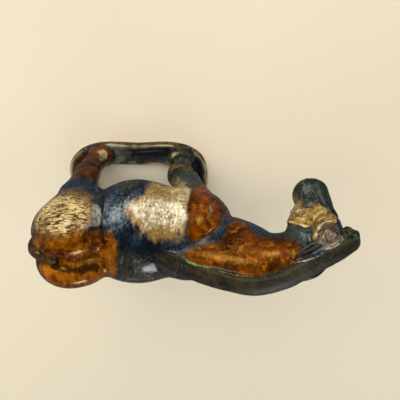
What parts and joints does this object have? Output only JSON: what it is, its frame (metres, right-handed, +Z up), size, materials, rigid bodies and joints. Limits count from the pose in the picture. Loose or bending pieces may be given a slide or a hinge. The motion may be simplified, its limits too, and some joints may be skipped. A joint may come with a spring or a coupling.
{
  "type": "sancai horse figure",
  "caption": "Small glazed pottery horse standing on an open oval base plate, head lowered and turned to its left, with amber, cobalt blue, cream and green splashed glaze.",
  "frame": {"origin": "centre of the figure's outline in plan, on the underside of its base plate", "axes": "+X forward, towards the horse's head; +Y to the horse's left; +Z up"},
  "size_m": [0.1257, 0.0526, 0.1031],
  "materials": {
    "glazed_earthenware": "glossy"
  },
  "bodies": {
    "root": {"horse": "glazed_earthenware"}
  },
  "joints": []
}
